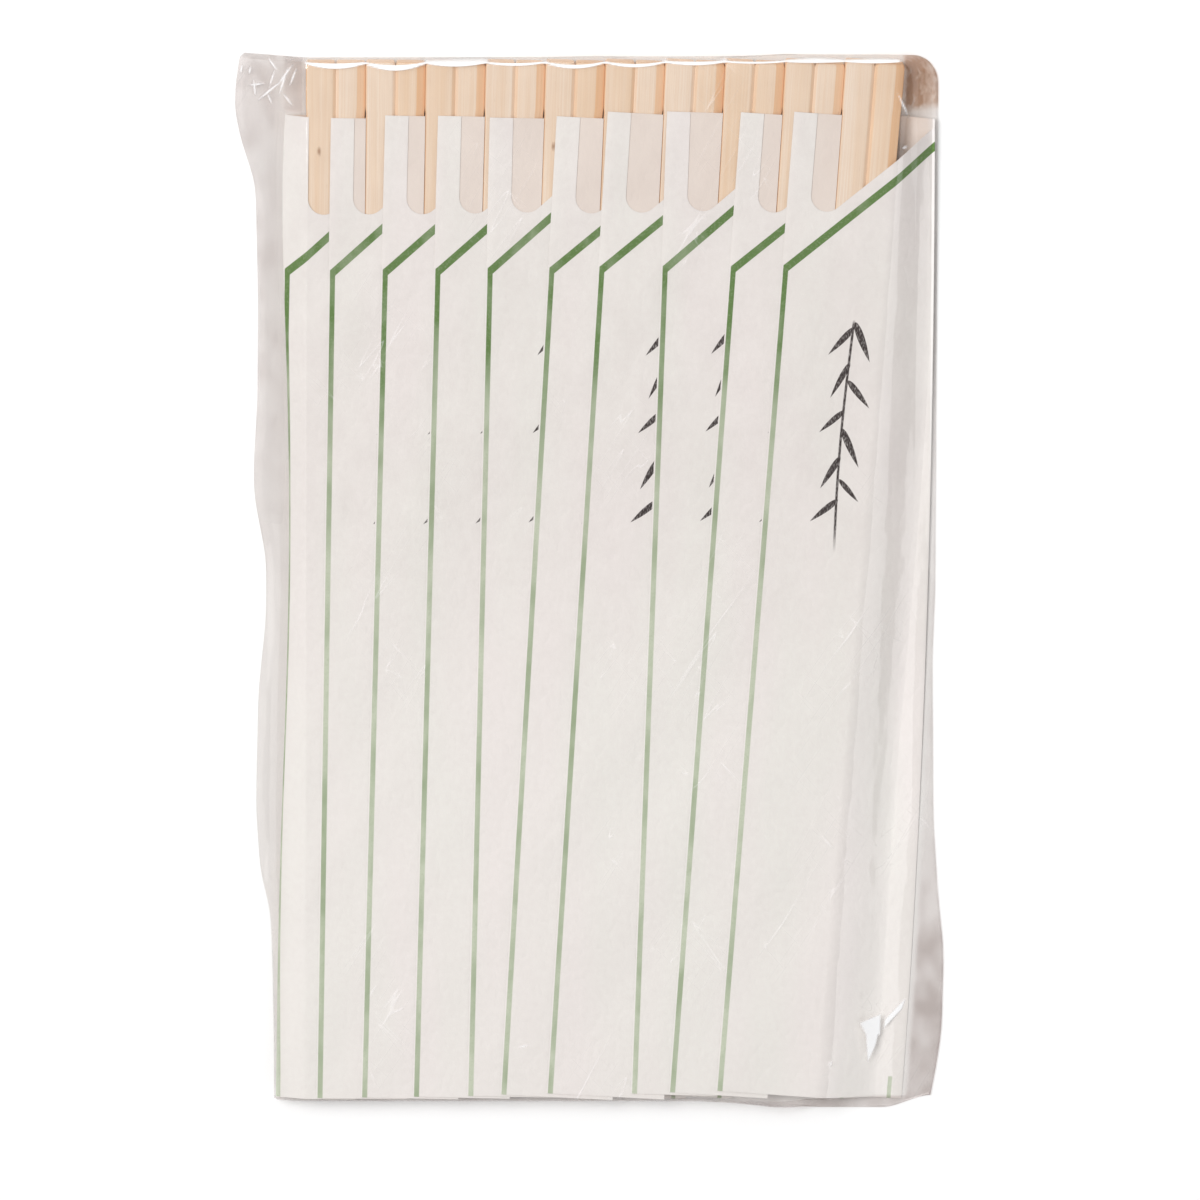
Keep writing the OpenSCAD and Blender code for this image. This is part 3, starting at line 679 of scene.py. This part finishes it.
def film_height(x, y, left, right):
    """Height of the upper film: straight lines across from the left edge over the first fold, the
    first pair, the last pair and the last margin to the right edge, softened where they meet. At
    the heads it rolls over the ends of the pairs, and at the foot it drops behind the paper."""
    d = np.clip(-y, 0, 204)
    f = d / (HEAD_OUT + SLEEVE_L)
    bends = (FOLD_BEND, FIRST_BEND, LAST_BEND)
    fold_x, left_x, right_x = (start + (end - start) * f for start, end in bends)
    margin_x, margin_h = last_fold(y)
    margin_x = np.minimum(margin_x, right - 0.4)
    top = stack_top(d)
    edge = np.full_like(x, FILM_EDGE_H)
    z = np.select(
        [x < fold_x, x < left_x, x < right_x, x < margin_x],
        [edge + (FOLD_H - edge) * np.clip((x - left) / (fold_x - left), 0, 1) ** 1.3,
         FOLD_H + (top - FOLD_H) * (x - fold_x) / (left_x - fold_x),
         top,
         top + (margin_h - top) * eased((x - right_x) / (margin_x - right_x)) ** 0.9],
        edge + (margin_h - edge) * np.clip((right - x) / (right - margin_x), 0, 1) ** 1.3)
    for _ in range(4):
        z[:, 1:-1] = 0.5 * z[:, 1:-1] + 0.25 * (z[:, :-2] + z[:, 2:])
    over_wood = np.clip((z - 3.0) / 2.0, 0, 1) * eased((d - HEAD_OUT) / 12)
    z += over_wood * waviness(x - ROW_CENTRE[0], y - ROW_CENTRE[1])
    head = np.interp(past_heads(x, y), [-1.2, -0.6, 0.0, 0.15, 0.4], [1.0, 0.99, 0.96, 0.86, 0.0])
    foot_y = FOOT_LEFT_Y + (FOOT_RIGHT_Y - FOOT_LEFT_Y) * eased((x - 70) / 25)
    foot = np.interp(y - foot_y, [0.0, 0.25, 0.8], [0.0, 0.85, 1.0])
    behind = eased((x - 84) / 10) * np.clip((PAPER_END_Y - y) / 0.6, 0, 1)
    return FILM_EDGE_H + (z - FILM_EDGE_H) * head * foot * (1 - 0.9 * behind)


def film_marks(x, y):
    """How slack the film is, which greys it partly as painted shade; where a painted reflection tints it
    brown beside the wood; and where it is whitened by the painted highlight at the heads, the painted
    glints and the creases."""
    past_margin = eased((x - last_fold(y)[0]) / 1.5)
    past_paper = eased((PAPER_END_Y - y) / 0.5) * (1 - past_margin)
    beside_heads = eased((-5.9 - x) / 0.8) * eased((y + 10.5) / 1.5) * eased((x + 11) / 1.5)
    along = 1 - 0.7 * eased((-y - 60) / 50) + 0.4 * eased((y + 20) / 12)
    # The grey of slack film is partly its own crumpled thickness and partly painted shade seen through it,
    # as beside the heads, past the margin and past the paper.
    slack = eased((fold_bow(-HEAD_OUT - y) - 9.9 - x) / 2.5) * along + 1.9 * beside_heads
    slack += past_margin * (0.65 + 1.05 * eased((-y - 150) / 35)) + 1.2 * past_paper
    # Painted shade: the film over the upper part of the pack is a little greyer, darker towards the head
    # end.
    slack += 0.3 * eased((y + 150) / 80) * (1 - np.clip(slack, 0, 1))
    # Painted reflection: in the right head corner the film is tinted brown, as the wood's shaded side seen
    # in it.
    tan = 1.3 * eased((x - 109.4) / 1.2) * eased((y + 10.0) / 2.0) * (1 - 0.5 * eased((x - 112) / 3))
    # Painted highlights along the heads and on the glints; the creases are whitened partly as the film's
    # own stress whitening and partly as painted highlight.
    painted_highlight_and_crease_white = painted_head_highlight(x, y)
    for corners in GLINTS:
        painted_highlight_and_crease_white = np.maximum(painted_highlight_and_crease_white, inside(x, y, corners))
    for start, end, height, width in EAR_CREASES + MARGIN_CREASES:
        painted_highlight_and_crease_white = np.maximum(painted_highlight_and_crease_white, 0.9 * ridge(x, y, start, end, min(width, 0.35)) ** 1.2)
    return slack, tan, painted_highlight_and_crease_white


def crumpled(x, y, slack):
    """Height that the creases add, each a straight-sided ridge, and the small waves of slack film."""
    waves = np.sin(x * 1.1 + 2.0 * np.sin(y * 0.21)) * np.sin(y * 0.33 + x * 0.4)
    added = 0.05 * np.clip(slack, 0, 1) * waves
    for start, end, height, width in EAR_CREASES + MARGIN_CREASES:
        added += height * ridge(x, y, start, end, width)
    return added


def make_bag():
    """The bag as one closed skin: the upper film over the pack on a fine grid, and the lower film
    under it on a coarse one, which share the rim."""
    across = spaced((0, 0.02, 9), (0.02, 0.11, 56), (0.11, 0.84, 100), (0.84, 0.97, 66), (0.97, 1, 8))
    down = spaced((0, 0.016, 44), (0.016, 0.06, 36), (0.06, 0.1, 18),
                  (0.1, 0.88, 90), (0.88, 0.98, 70), (0.98, 1, 20))
    f, g = np.meshgrid(across, down)
    foot_y = FOOT_LEFT_Y + (FOOT_RIGHT_Y - FOOT_LEFT_Y) * eased((f - 0.66) / 0.18)
    foot_y += 2.4 * eased((f - 0.93) / 0.07)
    head_y = np.interp(-19.5 + 136.0 * f, *HEAD_EDGE.T)
    y = head_y + (foot_y - head_y) * g
    left, right = along_edge(LEFT_EDGE, y), along_edge(RIGHT_EDGE, y)
    into = np.clip(CORNER_R - (head_y - y), 0, CORNER_R)
    right = right - (CORNER_R - np.sqrt(CORNER_R ** 2 - into ** 2)) * 0.9
    left = left + 0.9 * np.clip(1 - (head_y - y) / 1.2, 0, 1) ** 2
    x = left + (right - left) * f
    slack, tan, painted_highlight_and_crease_white = film_marks(x, y)
    z = film_height(x, y, left, right) + crumpled(x, y, slack)
    rim = np.zeros_like(z)
    rim[1:-1, 1:-1] = 1
    z = np.maximum(z * rim + FILM_EDGE_H * (1 - rim), FILM_LOW)

    rows, columns = x.shape
    number = np.arange(rows * columns).reshape(rows, columns)
    kept = np.unique(np.concatenate([[0, 1], np.linspace(1, columns - 2, 14).astype(int), [columns - 1]]))
    under = number[:, kept].copy()
    inner = np.s_[1:-1, 1:-1]
    under[inner] = rows * columns + np.arange(under[inner].size).reshape(under[inner].shape)
    low_x, low_y = x[:, kept][inner], y[:, kept][inner]
    lower = np.stack([low_x, low_y, np.full_like(low_x, UNDER_Z)], axis=-1).reshape(-1, 3)
    upper = np.stack([x, y, z], axis=-1).reshape(-1, 3)
    points = np.concatenate([upper, lower]) - ROW_CENTRE
    body = np.stack([under[1:-2, :-1], under[1:-2, 1:], under[2:-1, 1:], under[2:-1, :-1]], axis=-1)
    faces = list(grid_faces(rows, columns)[:, ::-1]) + list(body.reshape(-1, 4))
    for j in range(len(kept) - 1):
        run = np.arange(kept[j], kept[j + 1] + 1)
        faces.append(np.concatenate([number[0, run], under[1, [j + 1, j]]]))
        faces.append(np.concatenate([number[-1, run[::-1]], under[-2, [j, j + 1]]]))
    marks = {name: np.concatenate([values.ravel(), np.zeros(len(lower))])
             for name, values in (("slack", slack), ("tan", tan), ("painted_highlight_and_crease_white", painted_highlight_and_crease_white))}
    return make_piece("film_bag", points, faces, sharp=60.0, **marks)


def film_finish():
    """Clear glossy film: it passes most light, less where it is slack and crumpled, a grey that is partly
    painted shade, and mirrors its surroundings by the Fresnel law through fine wrinkles. Creases and
    scratches are whitened; painted highlights and a painted brown reflection of the wood are laid on."""
    material, tree, shader = new_material("clear_film")
    solid = node(tree, "ShaderNodeTexCoord").outputs["Object"]
    slack, tan, crease = (node(tree, "ShaderNodeAttribute", attribute_name=name).outputs["Fac"]
                          for name in ("slack", "tan", "painted_highlight_and_crease_white"))
    wrinkle = noise(tree, solid, (160, 60, 120), 2.0, 0.55)
    bump = node(tree, "ShaderNodeBump", {"Height": wrinkle, "Strength": 0.35, "Distance": 0.0008})
    facing = {"Blend": 0.5, "Normal": bump.outputs[0]}
    glance = node(tree, "ShaderNodeLayerWeight", facing).outputs["Facing"]
    mirror = ramp(tree, maths(tree, "POWER", glance, 5.0), 0.0, 1.0, 0.075, 0.5)

    # white: the painted highlights, the crease whitening, which is partly painted highlight, and the
    # scratches.
    white = crease
    rare = ramp(tree, noise(tree, solid, (60, 35, 40), 1.0), 0.56, 0.66)
    for turn, strength in ((0.55, 0.25), (-0.75, 0.2)):
        streaks = noise(tree, turned(tree, solid, turn), (420, 20, 200), 0.0)
        contour = maths(tree, "ABSOLUTE", maths(tree, "SUBTRACT", streaks, 0.5))
        scratch = maths(tree, "MULTIPLY", ramp(tree, contour, 0.007, 0.001, 0.0, strength), rare)
        white = maths(tree, "MAXIMUM", white, scratch)
    cover = maths(tree, "MAXIMUM", mirror, maths(tree, "MULTIPLY", white, 0.95))

    # The tint greys with slack film, partly as painted shade, and turns brown on the painted reflection of
    # the wood.
    blotch = ramp(tree, noise(tree, solid, (230, 160, 200), 1.0), 0.3, 0.7, 0.7, 1.25)
    thick = maths(tree, "MULTIPLY", slack, blotch)
    tint = mixed(tree, thick, srgb(251, 250, 249), srgb(240, 237, 236))
    tint = mixed(tree, maths(tree, "SUBTRACT", thick, 1.0), tint, srgb(221, 215, 213))
    crumple = ramp(tree, noise(tree, solid, (800, 600, 700), 1.0), 0.3, 0.7, 0.5, 1.2)
    tint = mixed(tree, maths(tree, "MULTIPLY", tan, crumple, clamp=True), tint, srgb(208, 179, 157))

    shader.inputs["Base Color"].default_value = (0.95, 0.95, 0.96, 1)
    tree.links.new(ramp(tree, white, 0.0, 0.15, 1.0, 0.0), shader.inputs["Metallic"])
    tree.links.new(ramp(tree, slack, 0.3, 1.0, 0.1, 0.45), shader.inputs["Roughness"])
    tree.links.new(bump.outputs[0], shader.inputs["Normal"])
    clear = node(tree, "ShaderNodeBsdfTransparent", {"Color": tint}).outputs[0]
    skin = node(tree, "ShaderNodeMixShader", {0: cover, 1: clear, 2: shader.outputs[0]}).outputs[0]
    tree.links.new(skin, tree.nodes["Material Output"].inputs["Surface"])
    return material


bag = make_bag()
bag.data.materials.append(film_finish())
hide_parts("bag")
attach(bag, "root")

# The studio: a plain near-white sweep of card, a soft key light from the upper left, a tall
# light beyond the heads, and a camera that looks down on the pack from a little past its head end.
def make_card():
    """A level square of card just under the pack."""
    half, lines, drop = 1500.0, 9, 0.03
    f = np.linspace(-half, half, lines)
    x, y = np.meshgrid(f, f)
    points = np.stack([x, y, 0 * x - drop], axis=-1).reshape(-1, 3)
    card = make_piece("studio_card", points, grid_faces(lines, lines))
    material, tree, shader = new_material("white_card")
    solid = node(tree, "ShaderNodeTexCoord").outputs["Object"]
    tone = noise(tree, solid, (6, 6, 6), 2.0)
    white = mixed(tree, tone, (0.93, 0.93, 0.93, 1), (0.95, 0.95, 0.95, 1))
    tree.links.new(white, shader.inputs["Base Color"])
    shader.inputs["Roughness"].default_value = 0.9
    shader.inputs["Specular IOR Level"].default_value = 0.1
    card.data.materials.append(material)
    return card


make_card()


def soft_light(name, place, target, size, power):
    """A rectangular soft light at a place, turned to a target. Power is in watts."""
    lamp = bpy.data.lights.new(name, "AREA")
    lamp.shape, lamp.size, lamp.size_y, lamp.energy = "RECTANGLE", size[0], size[1], power
    holder = bpy.data.objects.new(name, lamp)
    holder.location = place
    holder.rotation_mode = "QUATERNION"
    holder.rotation_quaternion = (Vector(target) - Vector(place)).to_track_quat("-Z", "Y")
    bpy.context.scene.collection.objects.link(holder)


soft_light("key_light", (-0.90, 0.52, 1.68), (0, 0, 0), (1.1, 1.1), 30.5)
soft_light("head_light", (0.0, 1.0, 0.75), (0, 0.1, 0), (0.4, 0.8), 2.0)
soft_light("fill_light", (1.3, -0.6, 1.3), (0, 0, 0), (1.2, 1.2), 5.0)

world = bpy.data.worlds.new("studio_air")
world.use_nodes = True
world.node_tree.nodes["Background"].inputs["Color"].default_value = (1.0, 1.0, 1.0, 1)
world.node_tree.nodes["Background"].inputs["Strength"].default_value = 0.39
bpy.context.scene.world = world
bpy.context.scene.view_settings.view_transform = "Standard"

camera = bpy.data.cameras.new("front_camera")
camera.lens, camera.sensor_width = 500.0, 36.0
TILT, FRAME_W = np.radians(10.1), 0.2330
target = Vector((0.00145, -0.00272, 0.006))
holder = bpy.data.objects.new("front_camera", camera)
distance = FRAME_W / camera.sensor_width * camera.lens
holder.location = target + Vector((0, np.sin(TILT), np.cos(TILT))) * distance
holder.rotation_euler = (-TILT, 0, 0)
bpy.context.scene.collection.objects.link(holder)
bpy.context.scene.camera = holder
